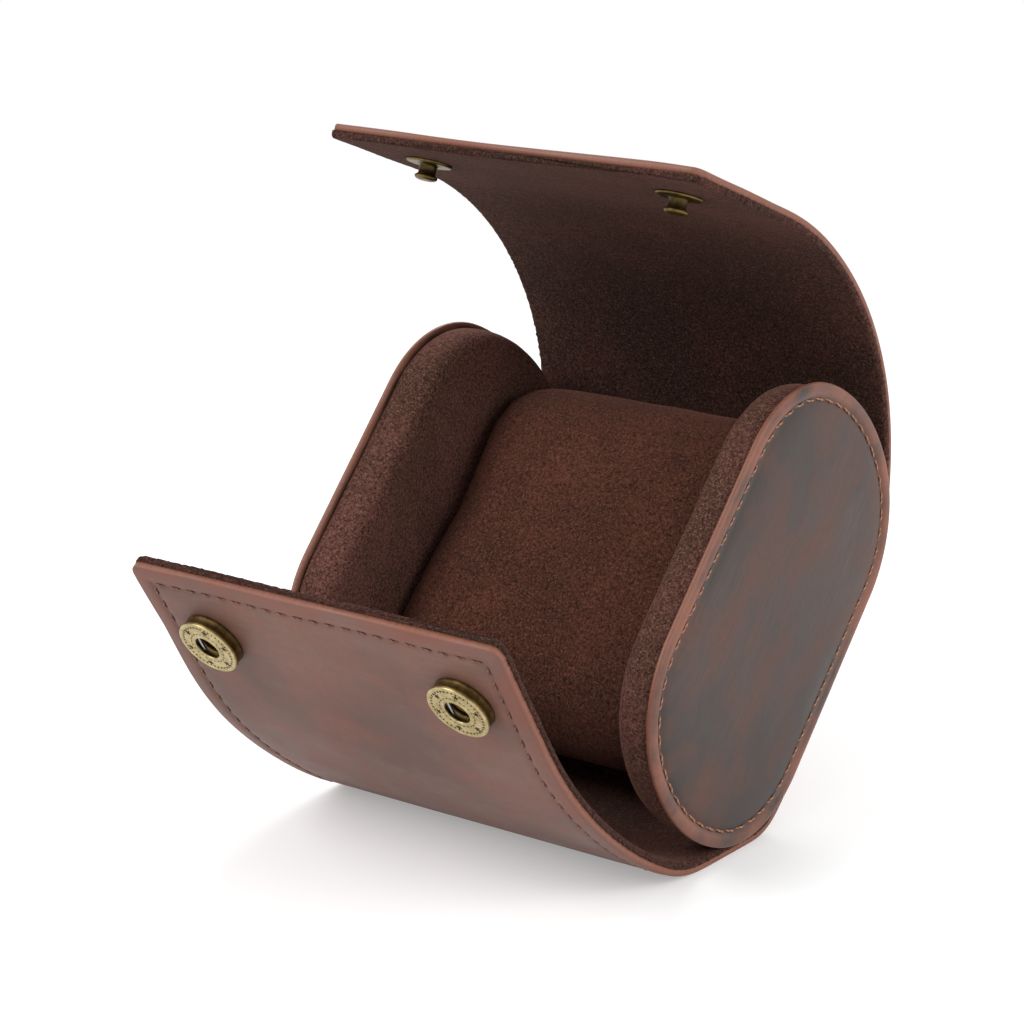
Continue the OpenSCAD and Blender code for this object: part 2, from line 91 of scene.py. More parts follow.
def softened(values, width):
    """The running mean of a list, with its ends carried on."""
    half = max(1, int(width / STEP / 2))
    padded = [values[0]] * half + values + [values[-1]] * half
    total = sum(padded[: 2 * half])
    out = []
    for i in range(len(values)):
        total += padded[i + 2 * half]
        out.append(total / (2 * half + 1))
        total -= padded[i]
    return out


class Arm:
    """One arm of the wrap: how its inner face runs, with its bends softened as leather bends."""

    def __init__(self, name, heading, turn, runs, bodies, cut):
        self.name, self.turn, self.bodies = name, turn, bodies
        self.length = sum(run[0] for run in runs)
        self.cut = cut
        count = round(self.length / STEP)
        headings = []
        for i in range(count + 1):
            s, h = i * self.length / count, heading
            for length, bend in runs:
                part = min(s, length)
                h += turn * math.radians(bend) * part / length
                s -= part
                if s <= 0:
                    break
            headings.append(h)
        soft = softened(softened(headings, 7), 5)
        start = Vector((WRAP_BACK * math.cos(LEAN) - MIDDLE_DEPTH,
                        -WRAP_BACK * math.sin(LEAN) - FOOT_HEIGHT))
        hard_line, soft_line = self.walked(start, headings), self.walked(start, soft)
        drift = hard_line[-1] - soft_line[-1]
        self.headings = soft
        self.line = [p + drift * (i / count) ** 2 for i, p in enumerate(soft_line)]
        ends, s = [], 0.0
        for length, _ in runs:
            s += length
            ends.append(s)
        self.hinges = ends[-len(bodies):-1]
        self.suffixes = [body.split("_")[-1] for body in bodies[1:]]

    def walked(self, start, headings):
        points, p = [start.copy()], start.copy()
        ds = self.length / (len(headings) - 1)
        for a, b in zip(headings, headings[1:]):
            p = p + Vector((math.cos((a + b) / 2), math.sin((a + b) / 2))) * ds
            points.append(p)
        return points

    def place(self, s):
        """The inner face's point, its heading and its outward direction, as depth and height in mm."""
        f = max(0.0, min(1.0, s / self.length)) * (len(self.line) - 1)
        i = min(int(f), len(self.line) - 2)
        t = f - i
        p = self.line[i].lerp(self.line[i + 1], t)
        h = self.headings[i] * (1 - t) + self.headings[i + 1] * t
        along = Vector((math.cos(h), math.sin(h)))
        out = Vector((math.sin(h), -math.cos(h))) * self.turn
        return p + along * (s - f / (len(self.line) - 1) * self.length), along, out

    def point(self, s, across, depth):
        """A point of the sheet in metres: distance along, across, and outward from the inner face."""
        p, _, out = self.place(s)
        q = p + out * (depth + wave(self, s, across))
        return Vector((across, q.x, q.y)) * MM

    def mids(self):
        """Where the skins meet: the middle of each rigid part."""
        inner = [(a + b) / 2 for a, b in zip(self.hinges, self.hinges[1:])]
        return [0.0] + inner + [self.length]


def wave(arm, s, across):
    """The slight unevenness of a worked sheet, in mm, which dies out at the snaps, the foot and the middle
    of the back.
    """
    swell = noise.noise(Vector((s / 34, across / 30, 3.0 * arm.turn))) * 0.5
    snap = min(abs(s - (arm.length - arm.cut)), 12) / 12
    foot = 1.0 if arm.turn > 0 else min(1.0, max(0.0, (abs(s - FOOT_MIDDLE) - FOOT_REACH) / 10))
    return swell * snap * foot * min(1.0, s / 12)


TOP = Arm("top", math.pi / 2 - LEAN, 1, TOP_RUNS, TOP_BODIES, STUD_IN)
FRONT = Arm("front", math.pi * 1.5 - LEAN, -1, FRONT_RUNS, FRONT_BODIES, SOCKET_IN)


# Making pieces

def piece(name, verts, faces, material, uvs=None, marks=None, smooth=True):
    """A mesh piece from points in metres, with its sheet coordinates and its distance from an edge in mm."""
    mesh = bpy.data.meshes.new(name)
    mesh.from_pydata([tuple(v) for v in verts], [], faces)
    if uvs:
        layer = mesh.uv_layers.new(name="sheet")
        for loop in mesh.loops:
            layer.data[loop.index].uv = uvs[loop.vertex_index]
    if marks:
        mesh.attributes.new("edge", "FLOAT", "POINT").data.foreach_set("value", marks)
    mesh.validate()
    fix = bmesh.new()
    fix.from_mesh(mesh)
    bmesh.ops.recalc_face_normals(fix, faces=fix.faces)
    fix.to_mesh(mesh)
    fix.free()
    mesh.polygons.foreach_set("use_smooth", [smooth] * len(mesh.polygons))
    mesh.materials.append(material)
    obj = bpy.data.objects.new(name, mesh)
    bpy.context.scene.collection.objects.link(obj)
    return obj


def ring_faces(rows, columns, start=0, closed=True):
    """Faces between rows of points that lie one after the other."""
    faces = []
    for i in range(rows - 1):
        for j in range(columns if closed else columns - 1):
            a, b = start + i * columns + j, start + i * columns + (j + 1) % columns
            faces.append((a, b, b + columns, a + columns))
    return faces


def hex_colour(code):
    """A colour written as sRGB hex, in linear light."""
    parts = [int(code[i:i + 2], 16) / 255 for i in (1, 3, 5)]
    return tuple(c / 12.92 if c <= 0.04045 else ((c + 0.055) / 1.055) ** 2.4 for c in parts) + (1.0,)


def add(tree, kind, sockets=None, stops=None, **props):
    """Adds a node with its properties, its sockets' values or links, and a ramp's stops."""
    new = tree.nodes.new(kind)
    for key, value in props.items():
        setattr(new, key, value)
    for key, value in (sockets or {}).items():
        if isinstance(value, bpy.types.NodeSocket):
            tree.links.new(value, new.inputs[key])
        else:
            new.inputs[key].default_value = hex_colour(value) if isinstance(value, str) else value
    for i, (place, level) in enumerate(stops or []):
        element = new.color_ramp.elements[i] if i < 2 else new.color_ramp.elements.new(place)
        element.position = place
        element.color = hex_colour(level) if isinstance(level, str) else (level, level, level, 1)
    return new


def blank(name):
    """A new material and its empty tree."""
    material = bpy.data.materials.new(name)
    material.use_nodes = True
    material.node_tree.nodes.clear()
    return material, material.node_tree


def pull_up_leather(name, base, dark, warm, rim, rim_mm, streak, gloss):
    """Waxed pull-up cowhide: smooth and cloudy, redder where it was bent or rubbed, paler round its rim."""
    material, tree = blank(name)
    uv = add(tree, "ShaderNodeUVMap", uv_map="sheet").outputs["UV"]
    along = add(tree, "ShaderNodeMapping", {"Vector": uv, "Scale": (1.0, streak, 1.0)}).outputs[0]
    # Clouds of wax of 30 mm, rubbed marks of 13 mm and mottling of 1.5 mm
    cloud = add(tree, "ShaderNodeTexNoise", {"Vector": along, "Scale": 1000 / 30, "Detail": 5,
                                             "Roughness": 0.55},
                noise_dimensions="2D").outputs["Fac"]
    rub = add(tree, "ShaderNodeTexNoise", {"Vector": along, "Scale": 1000 / 13, "Detail": 7,
                                           "Roughness": 0.62,
              "Distortion": 0.15}, noise_dimensions="2D").outputs["Fac"]
    mottle = add(tree, "ShaderNodeTexNoise", {"Vector": uv, "Scale": 1000 / 1.5, "Detail": 4,
                                              "Roughness": 0.6},
                 noise_dimensions="2D").outputs["Fac"]
    cloudy = add(tree, "ShaderNodeValToRGB", {"Fac": cloud}, [(0.36, 0.0), (0.64, 1.0)]).outputs[0]
    colour = add(tree, "ShaderNodeMix", {0: cloudy, 6: dark, 7: base}, data_type="RGBA").outputs[2]
    rubbed = add(tree, "ShaderNodeValToRGB", {"Fac": rub}, [(0.44, 0.0), (0.74, 0.9)]).outputs[0]
    colour = add(tree, "ShaderNodeMix", {0: rubbed, 6: colour, 7: warm}, data_type="RGBA").outputs[2]
    specks = add(tree, "ShaderNodeValToRGB", {"Fac": mottle}, [(0.3, 0.22), (0.6, 0.0)]).outputs[0]
    colour = add(tree, "ShaderNodeMix", {0: specks, 6: colour, 7: dark}, data_type="RGBA").outputs[2]
    # Fine scuffs, 0.7 mm wide and many times as long, show where the hide was rubbed
    slanted = add(tree, "ShaderNodeMapping", {"Vector": uv, "Rotation": (0, 0, 0.35),
                                              "Scale": (1.0, 0.07, 1.0)})
    scuff = add(tree, "ShaderNodeTexNoise", {"Vector": slanted.outputs[0], "Scale": 1000 / 0.7, "Detail": 3,
                "Distortion": 0.5}, noise_dimensions="2D").outputs["Fac"]
    scuff = add(tree, "ShaderNodeValToRGB", {"Fac": scuff}, [(0.52, 0.0), (0.72, 0.55)]).outputs[0]
    scuff = add(tree, "ShaderNodeMath", {0: scuff, 1: cloudy}, operation="MULTIPLY").outputs[0]
    colour = add(tree, "ShaderNodeMix", {0: scuff, 6: colour, 7: warm}, data_type="RGBA").outputs[2]
    # Outside the stitching the hide is rubbed paler and redder
    edge = add(tree, "ShaderNodeAttribute", attribute_name="edge").outputs["Fac"]
    outside = add(tree, "ShaderNodeMapRange", {"Value": edge, "From Min": rim_mm + 0.5,
                  "From Max": rim_mm - 1.2}).outputs["Result"]
    uneven = add(tree, "ShaderNodeValToRGB", {"Fac": rub}, [(0.32, 0.1), (0.62, 0.9)]).outputs[0]
    worn = add(tree, "ShaderNodeMath", {0: outside, 1: uneven}, operation="MULTIPLY").outputs[0]
    colour = add(tree, "ShaderNodeMix", {0: worn, 6: colour, 7: rim}, data_type="RGBA").outputs[2]
    # The cut edge shows the tan inside of the hide, with fibres that are drawn coarse at 0.5 mm
    fibre = add(tree, "ShaderNodeTexNoise", {"Vector": uv, "Scale": 1000 / 0.5, "Detail": 3,
                                             "Roughness": 0.7},
                noise_dimensions="2D").outputs["Fac"]
    raw = add(tree, "ShaderNodeMix", {0: fibre, 6: "#683A2B", 7: "#955F49"}, data_type="RGBA").outputs[2]
    bare = add(tree, "ShaderNodeMapRange", {"Value": edge, "From Min": 0.35,
                                            "From Max": -0.25}).outputs["Result"]
    colour = add(tree, "ShaderNodeMix", {0: bare, 6: colour, 7: raw}, data_type="RGBA").outputs[2]
    rough = add(tree, "ShaderNodeMapRange", {"Value": rub, "From Min": 0.35, "From Max": 0.7,
                "To Min": gloss, "To Max": gloss + 0.16}).outputs["Result"]
    # Grain pebbles about 0.8 mm across, almost pressed flat, and soft creases
    pebbles = add(tree, "ShaderNodeTexVoronoi", {"Vector": uv, "Scale": 1000 / 0.8}, feature="SMOOTH_F1",
                  voronoi_dimensions="2D").outputs["Distance"]
    grain = add(tree, "ShaderNodeBump", {"Height": pebbles, "Strength": 0.16,
                                         "Distance": 0.05 * MM}).outputs[0]
    creases = add(tree, "ShaderNodeBump", {"Height": rub, "Strength": 0.3, "Distance": 0.25 * MM,
                  "Normal": grain}).outputs[0]
    shader = add(tree, "ShaderNodeBsdfPrincipled", {"Base Color": colour, "Roughness": rough, "IOR": 1.48,
                 "Normal": creases})
    add(tree, "ShaderNodeOutputMaterial", {"Surface": shader.outputs[0]})
    return material


def split_suede(name, dark, middle, light, warm):
    """Split suede, sanded to a nap of short fibres: matt, speckled, and cloudy where the nap was brushed."""
    material, tree = blank(name)
    place = add(tree, "ShaderNodeTexCoord").outputs["Object"]
    # Brush marks of 20 mm; tufts of 0.7 mm; single fibres are drawn coarse at 0.4 mm
    brush = add(tree, "ShaderNodeTexNoise", {"Vector": place, "Scale": 1000 / 20, "Detail": 4,
                "Roughness": 0.6}).outputs["Fac"]
    tuft = add(tree, "ShaderNodeTexNoise", {"Vector": place, "Scale": 1000 / 0.7, "Detail": 3,
               "Roughness": 0.7}).outputs["Fac"]
    fibre = add(tree, "ShaderNodeTexNoise", {"Vector": place, "Scale": 1000 / 0.4, "Detail": 2,
                "Roughness": 0.6}).outputs["Fac"]
    brushed = add(tree, "ShaderNodeValToRGB", {"Fac": brush}, [(0.4, 0.0), (0.62, 1.0)]).outputs[0]
    ground = add(tree, "ShaderNodeMix", {0: brushed, 6: middle, 7: warm}, data_type="RGBA").outputs[2]
    shade = add(tree, "ShaderNodeValToRGB", {"Fac": tuft}, [(0.36, 0.9), (0.58, 0.0)]).outputs[0]
    colour = add(tree, "ShaderNodeMix", {0: shade, 6: ground, 7: dark}, data_type="RGBA").outputs[2]
    tips = add(tree, "ShaderNodeValToRGB", {"Fac": fibre}, [(0.5, 0.0), (0.72, 0.75)]).outputs[0]
    colour = add(tree, "ShaderNodeMix", {0: tips, 6: colour, 7: light}, data_type="RGBA").outputs[2]
    nap = add(tree, "ShaderNodeBump", {"Height": tuft, "Strength": 0.7, "Distance": 0.35 * MM}).outputs[0]
    nap = add(tree, "ShaderNodeBump", {"Height": fibre, "Strength": 0.6, "Distance": 0.2 * MM,
              "Normal": nap}).outputs[0]
    # The nap catches light at a low angle
    shader = add(tree, "ShaderNodeBsdfPrincipled", {"Base Color": colour, "Roughness": 0.95, "Normal": nap,
                 "Specular IOR Level": 0.12, "Sheen Weight": 0.3, "Sheen Roughness": 0.4,
                 "Sheen Tint": "#A8766A"})
    add(tree, "ShaderNodeOutputMaterial", {"Surface": shader.outputs[0]})
    return material


def waxed_thread(name, dark, light):
    """Twisted polyester thread, waxed: its strands show as slanted ridges."""
    material, tree = blank(name)
    uv = add(tree, "ShaderNodeUVMap", uv_map="sheet").outputs["UV"]
    # The twist repeats every 1.1 mm
    strands = add(tree, "ShaderNodeTexWave", {"Vector": uv, "Scale": 1000 / 2.2, "Distortion": 1.0},
                  bands_direction="DIAGONAL").outputs["Fac"]
    colour = add(tree, "ShaderNodeMix", {0: strands, 6: dark, 7: light}, data_type="RGBA").outputs[2]
    twist = add(tree, "ShaderNodeBump", {"Height": strands, "Strength": 0.6,
                                         "Distance": 0.1 * MM}).outputs[0]
    shader = add(tree, "ShaderNodeBsdfPrincipled",
                 {"Base Color": colour, "Roughness": 0.55, "Normal": twist})
    add(tree, "ShaderNodeOutputMaterial", {"Surface": shader.outputs[0]})
    return material


def antique_brass(name, bright, dull, dark, low=0.3, high=0.46):
    """Stamped brass, darkened in the low places and rubbed bright in patches."""
    material, tree = blank(name)
    place = add(tree, "ShaderNodeTexCoord").outputs["Object"]
    # Stains of 1.6 mm, fine marks from handling of 0.3 mm
    stain = add(tree, "ShaderNodeTexNoise", {"Vector": place, "Scale": 1000 / 1.6, "Detail": 5,
                "Roughness": 0.7}).outputs["Fac"]
    marks = add(tree, "ShaderNodeTexNoise", {"Vector": place, "Scale": 1000 / 0.3,
                                             "Detail": 2}).outputs["Fac"]
    rubbed = add(tree, "ShaderNodeValToRGB", {"Fac": stain}, [(0.32, 0.0), (0.6, 1.0)]).outputs[0]
    colour = add(tree, "ShaderNodeMix", {0: rubbed, 6: dull, 7: bright}, data_type="RGBA").outputs[2]
    point = add(tree, "ShaderNodeNewGeometry").outputs["Pointiness"]
    hollow = add(tree, "ShaderNodeValToRGB", {"Fac": point}, [(0.43, 1.0), (0.495, 0.0)]).outputs[0]
    colour = add(tree, "ShaderNodeMix", {0: hollow, 6: colour, 7: dark}, data_type="RGBA").outputs[2]
    rough = add(tree, "ShaderNodeMapRange", {"Value": stain, "To Min": low,
                                             "To Max": high}).outputs["Result"]
    bump = add(tree, "ShaderNodeBump", {"Height": marks, "Strength": 0.12,
                                        "Distance": 0.05 * MM}).outputs[0]
    shader = add(tree, "ShaderNodeBsdfPrincipled",
                 {"Base Color": colour, "Metallic": 1.0, "Roughness": rough,
                 "Normal": bump})
    add(tree, "ShaderNodeOutputMaterial", {"Surface": shader.outputs[0]})
    return material


def drawn_steel(name):
    """Hard-drawn spring wire: grey, with fine marks from the die."""
    material, tree = blank(name)
    place = add(tree, "ShaderNodeTexCoord").outputs["Object"]
    marks = add(tree, "ShaderNodeTexNoise", {"Vector": place, "Scale": 1000 / 0.4,
                                             "Detail": 2}).outputs["Fac"]
    colour = add(tree, "ShaderNodeMix", {0: marks, 6: "#7F8183", 7: "#B4B6B8"}, data_type="RGBA").outputs[2]
    bump = add(tree, "ShaderNodeBump", {"Height": marks, "Strength": 0.1, "Distance": 0.03 * MM}).outputs[0]
    shader = add(tree, "ShaderNodeBsdfPrincipled", {"Base Color": colour, "Metallic": 1.0, "Roughness": 0.3,
                 "Normal": bump})
    add(tree, "ShaderNodeOutputMaterial", {"Surface": shader.outputs[0]})
    return material


def pressed_board(name, dark, light, fleck_mm):
    """Pressed fibre board or cut foam, hidden inside: pale, matt and flecked."""
    material, tree = blank(name)
    place = add(tree, "ShaderNodeTexCoord").outputs["Object"]
    flecks = add(tree, "ShaderNodeTexNoise", {"Vector": place, "Scale": 1000 / fleck_mm, "Detail": 4,
                 "Roughness": 0.7}).outputs["Fac"]
    colour = add(tree, "ShaderNodeMix", {0: flecks, 6: dark, 7: light}, data_type="RGBA").outputs[2]
    bump = add(tree, "ShaderNodeBump", {"Height": flecks, "Strength": 0.4, "Distance": 0.2 * MM}).outputs[0]
    shader = add(tree, "ShaderNodeBsdfPrincipled", {"Base Color": colour, "Roughness": 0.9, "Normal": bump})
    add(tree, "ShaderNodeOutputMaterial", {"Surface": shader.outputs[0]})
    return material


WRAP_HIDE = pull_up_leather("wrap_pull_up_leather", "#765246", "#5F4137", "#82564A", "#7C4A3B", 3.9, 0.8,
                            0.5)
CAP_HIDE = pull_up_leather("cap_pull_up_leather", "#3C2C25", "#2A1F1A", "#583529", "#86523F", 3.2, 0.6,
                           0.42)
LINING_SUEDE = split_suede("lining_split_suede", "#1C120F", "#36251F", "#6B5044", "#4A2C26")
CAP_SUEDE = split_suede("cap_split_suede", "#271813", "#4F352B", "#8C6758", "#66403A")
PILLOW_SUEDE = split_suede("pillow_split_suede", "#22150F", "#482B21", "#7A5142", "#5A3429")
THREAD = waxed_thread("wrap_waxed_thread", "#4C2C20", "#865441")
CAP_THREAD = waxed_thread("cap_waxed_thread", "#6A422F", "#B07B5B")
BRASS = antique_brass("rubbed_stamped_brass", "#BFAE80", "#8F7D50", "#3E311A")
# A darker copy of the same brass: painted shade on the drums' sides, on the rivet heads down in the sockets'
# holes and on the studs under the top flap; the domes take it too.
PAINTED_SHADE_BRASS = antique_brass("aged_stamped_brass", "#7E6A40", "#544628", "#1E170D", 0.34, 0.55)
PATINA = antique_brass("stamped_patina", "#3A2F1B", "#2A2214", "#140F08", 0.4, 0.6)
STEEL = drawn_steel("drawn_spring_steel")
BOARD = pressed_board("pressed_fibre_board", "#8E8371", "#A99E8B", 1.2)
FOAM = pressed_board("cut_foam", "#CFC8B4", "#E2DCCB", 0.6)


# The wrap's leather, lining and stitches

def stations(first, last, free_end, step=0.9):
    """Distances along a skin, closer together towards a free end."""
    count = max(6, round((last - first) / step))
    rows = [first + (last - first) * i / count for i in range(count + 1)]
    if free_end:
        near = [0.0, 0.1, 0.25, 0.45, 0.8, 1.3, 2.0, 2.7, 3.2, 3.5, 3.75, 4.0, 4.25, 4.5, 5.0]
        rows = [s for s in rows if s < last - 5.4] + [last - d for d in reversed(near)]
    return rows


EDGE_COLUMNS = [0.0, 0.1, 0.25, 0.45, 0.8, 1.3, 2.0, 2.7, 3.2, 3.5, 3.75, 4.0, 4.25, 4.5, 5.0, 6.0]
INNER_COLUMNS, FUZZY_COLUMNS = 34, 110
CORNER_R = 2.2


# Further from any edge than anything looks for
FAR = 99.0
# Rounding of the leather's and the lining's edges, the pressed stitch line, and the slight puff outside it
EDGE_R, LINING_EDGE_R = 0.5, 0.6
GROOVE_DEEP, GROOVE_WIDE = 0.28, 0.5
PUFF, PUFF_IN, PUFF_WIDE = 0.12, 2.2, 1.1
# How the stitches lie: askew, half sunk, and pressed right in at the foot
STITCH_SLANT = math.radians(7)
STITCH_R, CAP_STITCH_R = 0.25, 0.24
STITCH_SINK = 0.16
FOOT_SINK = 0.3


def columns(half, count=INNER_COLUMNS):
    """Places across the sheet with their distance from the nearest long edge, from left to right."""
    inner = half - EDGE_COLUMNS[-1]
    left = [(-half + d, d) for d in EDGE_COLUMNS]
    middle = [(-inner + 2 * inner * k / count, FAR) for k in range(1, count)]
    return left + middle + [(-x, d) for x, d in reversed(left)]


def half_width(half, to_end):
    """Half of the sheet's width, less its rounded corner near a free end."""
    if to_end >= CORNER_R:
        return half
    return half - CORNER_R + math.sqrt(max(0.0, CORNER_R ** 2 - (CORNER_R - to_end) ** 2))


def rounding(distance, radius):
    """How much a rounded edge falls away at a distance from it."""
    if distance >= radius:
        return 0.0
    return radius - math.sqrt(max(0.0, radius ** 2 - (radius - distance) ** 2))


def leather_skin(arm, first, last, name, free_end):
    """One stretch of the outer leather, with rounded edges and the stitch line pressed in."""
    verts, uvs, marks = [], [], []
    rows = stations(first, last, free_end)
    row_length = 0
    for s in rows:
        to_end = arm.length - s if free_end else FAR
        half = half_width(WRAP_HALF, to_end)
        line = []
        for x, d in columns(half):
            edge = min(d, to_end)
            level = WRAP - rounding(edge, EDGE_R)
            level -= GROOVE_DEEP * math.exp(-((edge - STITCH_IN) / GROOVE_WIDE) ** 2)
            level += PUFF * math.exp(-((edge - PUFF_IN) / PUFF_WIDE) ** 2)
            line.append((x, level, edge))
        outer = len(line)
        line += [(x, LINING, -0.6) for x in (half, 0.0, -half)]
        row_length = len(line)
        for x, level, edge in line:
            verts.append(arm.point(s, x, level))
            uvs.append((s * MM * arm.turn, x * MM))
            marks.append(min(edge, 50.0))
    faces = ring_faces(len(rows), row_length)
    if free_end:
        base = (len(rows) - 1) * row_length
        faces.append(tuple(base + j for j in range(row_length)))
    return piece(name, verts, faces, WRAP_HIDE, uvs, marks)


def lining_skin(arm, first, last, name, free_end):
    """One stretch of the suede lining, whose ragged cut edges stand just proud of the leather."""
    verts, uvs = [], []
    rows = stations(first, last, free_end, 0.6)
    count = FUZZY_COLUMNS if free_end else INNER_COLUMNS
    row_length = 0
    for s in rows:
        to_end = arm.length + 0.25 - s if free_end else FAR
        ragged = [0.4 * noise.noise(Vector((s / 0.8, side, arm.turn))) + 0.15 for side in (-7.0, 7.0)]
        half = half_width(WRAP_HALF, arm.length - s if free_end else FAR)
        line = []
        for x, d in columns(half, count):
            level = rounding(min(d, to_end), LINING_EDGE_R)
            level += 0.07 * noise.noise(Vector((s / 1.6, x / 1.6, 1.0)))
            line.append((x + math.copysign(ragged[x > 0] * max(0.0, 1 - d / 0.8), x), level))
        line += [(half + ragged[1], LINING - 0.02), (0.0, LINING - 0.02),
                 (-half - ragged[0], LINING - 0.02)]
        row_length = len(line)
        for x, level in line:
            reach = 0.0
            if free_end and s > arm.length - 0.3:
                reach = 0.2 + 0.45 * noise.noise(Vector((x / 0.8, 3.0, arm.turn)))
            verts.append(arm.point(s + reach, x, level))
            uvs.append((s * MM, x * MM))
    faces = ring_faces(len(rows), row_length)
    if free_end:
        base = (len(rows) - 1) * row_length
        faces.append(tuple(base + j for j in range(row_length)))
    return piece(name, verts, faces, LINING_SUEDE, uvs)


def stitches(name, seats, material, radius=STITCH_R):
    """A row of stitches, each on its seat (middle, along, up, length) and sunk at both ends."""
    verts, faces, uvs = [], [], []
    sides, rings = 8, 7
    for k, (middle, along, up, length) in enumerate(seats):
        across = along.cross(up).normalized()
        ahead = along * math.cos(STITCH_SLANT) + across * math.sin(STITCH_SLANT)
        across = ahead.cross(up).normalized()
        start = len(verts)
        for i in range(rings):
            t = 2 * i / (rings - 1) - 1
            thick = radius * math.sqrt(max(0.05, 1 - t ** 4))
            centre = middle + ahead * (t * length / 2 * MM) + up * ((0.08 - 0.42 * t ** 4) * MM)
            for j in range(sides):
                a = 2 * math.pi * j / sides
                verts.append(centre + (across * math.cos(a) + up * math.sin(a) * 0.8) * thick * MM)
                uvs.append(((t * length / 2 + 0.37 * k) * MM, j / sides * 1.8 * MM))
        faces += ring_faces(rings, sides, start)
        faces.append(tuple(start + j for j in range(sides)))
        faces.append(tuple(start + (rings - 1) * sides + j for j in range(sides)))
    return piece(name, verts, faces, material, uvs)


def wrap_stitch_seats(arm, first, last, free_end):
    """Where the stitches of one stretch lie: along both long edges, and across a free end."""
    seats = []
    run_end = arm.length - STITCH_IN
    total = math.floor(run_end / STITCH_PITCH)
    pitch = run_end / total
    for k in range(total):
        s = (k + 0.5) * pitch
        if not first <= s < last:
            continue
        _, along, out = arm.place(s)
        ahead, up = Vector((0, along.x, along.y)), Vector((0, out.x, out.y))
        # The stitches that the case stands on are pressed right in
        sunk = FOOT_SINK if arm.turn < 0 and abs(s - FOOT_MIDDLE) < FOOT_REACH + 2 else 0.0
        for side in (-1, 1):
            middle = arm.point(s, side * (WRAP_HALF - STITCH_IN), WRAP - STITCH_SINK - sunk)
            seats.append((middle, ahead * side, up, STITCH_LEN))
    if free_end:
        run = 2 * (WRAP_HALF - STITCH_IN)
        count = round(run / STITCH_PITCH)
        _, along, out = arm.place(run_end)
        up = Vector((0, out.x, out.y))
        for k in range(count):
            x = (k + 0.5) / count * run - run / 2
            seats.append((arm.point(run_end, x, WRAP - STITCH_SINK), Vector((1, 0, 0)), up, STITCH_LEN))
    return seats


def dress_arm(arm):
    """Leather, lining and stitches for one arm, a stretch across each hinge."""
    cuts = arm.mids()
    reach = BLEND_REACH[arm.name]
    for i, (hinge, suffix) in enumerate(zip(arm.hinges, arm.suffixes)):
        first, last = cuts[i], cuts[i + 1]
        free_end = i == len(arm.hinges) - 1
        label = f"{arm.name}_{suffix}"
        start, end = arm.point(hinge - reach, 0, 0), arm.point(hinge + reach, 0, 0)
        made = {
            "leather": leather_skin(arm, first, last, f"leather_skin_{label}", free_end),
            "lining": lining_skin(arm, first, last, f"lining_skin_{label}", free_end),
            "stitching": stitches(f"stitch_row_{label}", wrap_stitch_seats(arm, first, last, free_end),
                                  THREAD),
        }
        for kind, obj in made.items():
            stood_for = [f"{arm.name}_{kind}_{suffix}"]
            if i > 0:
                stood_for.append(f"{arm.name}_{kind}_{arm.suffixes[i - 1]}")
            else:
                stood_for += [f"wrap_{kind}"] + ([f"top_{kind}_1"] if arm is TOP else [])
            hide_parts(*stood_for)
            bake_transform(obj)


# The end caps

CORNER_X = CAP_W / 2 - CAP_CORNER_R
END_Y = CAP_H / 2 - CAP_END_R
CORNER_Y = END_Y + math.sqrt((CAP_END_R - CAP_CORNER_R) ** 2 - CORNER_X ** 2)
END_TURN = math.atan2(CORNER_X, CORNER_Y - END_Y)


def cap_outline(grow):
    """The cap's outline on its own axes, grown outward, as (back, up) points all the way round."""
    corner, end = CAP_CORNER_R + grow, CAP_END_R + grow
    turn = math.pi / 2 - END_TURN
    quarter = [(CORNER_X + corner, CORNER_Y * t / 8) for t in range(8)]
    quarter += [(CORNER_X + corner * math.cos(turn * t / 20), CORNER_Y + corner * math.sin(turn * t / 20))
                for t in range(20)]
    quarter += [(end * math.cos(turn + END_TURN * t / 9), END_Y + end * math.sin(turn + END_TURN * t / 9))
                for t in range(10)]
    top = quarter + [(-x, y) for x, y in reversed(quarter[:-1])]
    return top + [(-x, -y) for x, y in top[1:-1]]


def cap_shell(name, side, profile, shrinks, material, fuzz=0.0):
    """A shell with the cap's outline: rings by (grow, across), then shrinking rings closed by a point."""
    verts, uvs, marks = [], [], []
    outline = []
    for grow, across in profile:
        outline = cap_outline(grow)
        for x, y in outline:
            puff = fuzz * noise.noise(Vector((x / 9, y / 9, across / 9 + side)))
            verts.append(seat(x, y, side * (across + puff)))
            uvs.append((x * MM + side * FACE_SPREAD, y * MM))
            marks.append(-grow if across >= RIM_OUT - 0.5 or grow < -1.0 else -0.6)
    for shrink, across in shrinks:
        for x, y in outline:
            x, y = x * shrink, y * shrink
            dip = fuzz * noise.noise(Vector((x / 14, y / 14, 5 + side)))
            verts.append(seat(x, y, side * (across + dip)))
            uvs.append((x * MM + side * FACE_SPREAD, y * MM))
            marks.append(20.0)
    count = len(outline)
    rows = len(profile) + len(shrinks)
    faces = ring_faces(rows, count)
    verts.append(seat(0, 0, side * shrinks[-1][1]))
    uvs.append((side * FACE_SPREAD, 0.0))
    marks.append(20.0)
    last = (rows - 1) * count
    faces += [(last + j, last + (j + 1) % count, len(verts) - 1) for j in range(count)]
    faces.append(tuple(reversed(range(count))))
    return piece(name, verts, faces, material, uvs, marks)


